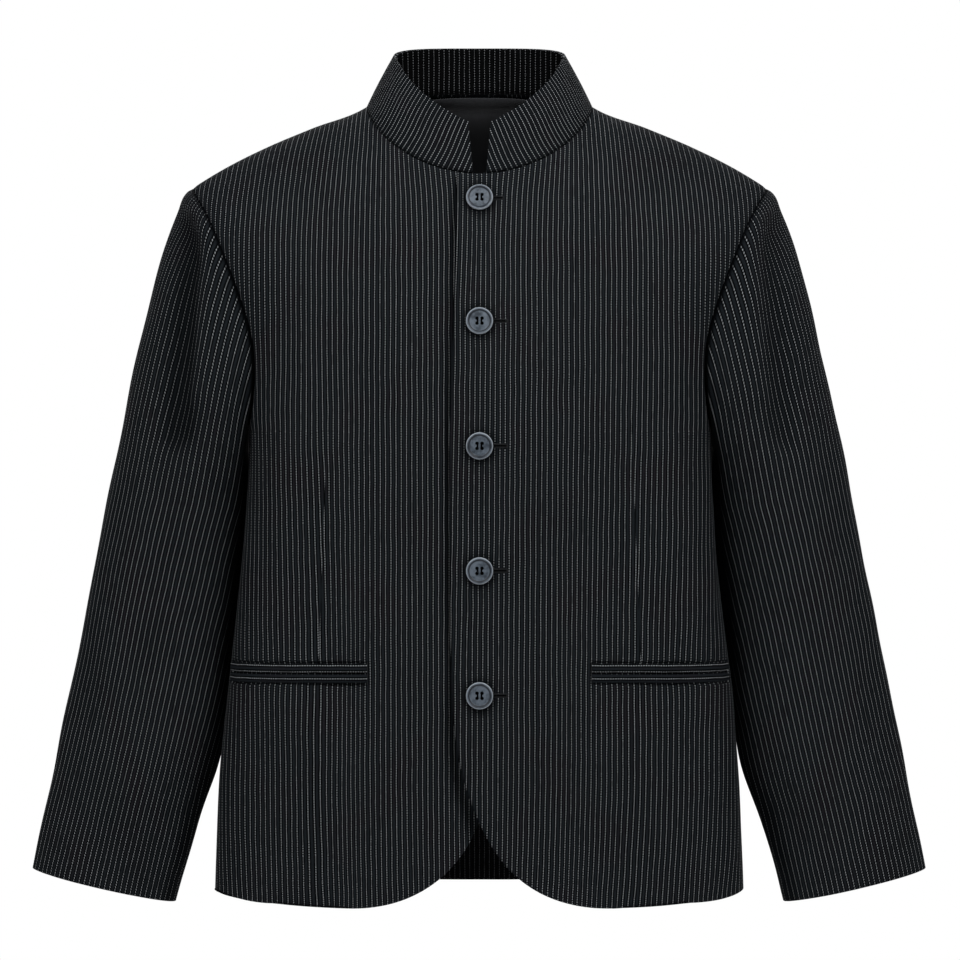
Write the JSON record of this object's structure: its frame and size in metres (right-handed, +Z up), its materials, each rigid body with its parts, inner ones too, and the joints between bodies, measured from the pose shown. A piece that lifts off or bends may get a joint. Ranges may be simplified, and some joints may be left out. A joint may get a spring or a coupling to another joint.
{
  "type": "pinstripe jacket",
  "caption": "Hollow stand-collar jacket in dark pinstripe suiting, buttoned down the front with rounded front corners, long plain sleeves and welt hip pockets.",
  "frame": {"origin": "on the neck's axis, level with the points where the shoulder seams meet the collar, where the wearer's shoulders and neck hold the jacket", "axes": "+Z up the wearer's neck, +X towards the wearer's left sleeve, -Y the way the front faces"},
  "size_m": [0.7626, 0.2446, 0.7366],
  "materials": {
    "suiting": "matt worsted with fine pale pin-dot stripes",
    "lining": "soft satin",
    "button_horn": "satin"
  },
  "bodies": {
    "root": {"front_left": "suiting", "front_right": "suiting", "back": "suiting", "sleeve_left": "suiting", "sleeve_right": "suiting", "collar": "suiting", "pocket_left_upper_welt": "suiting", "pocket_left_lower_welt": "suiting", "pocket_right_upper_welt": "suiting", "pocket_right_lower_welt": "suiting", "neck_lining": "lining", "button_1": "button_horn", "button_2": "button_horn", "button_3": "button_horn", "button_4": "button_horn", "button_5": "button_horn"}
  },
  "joints": []
}
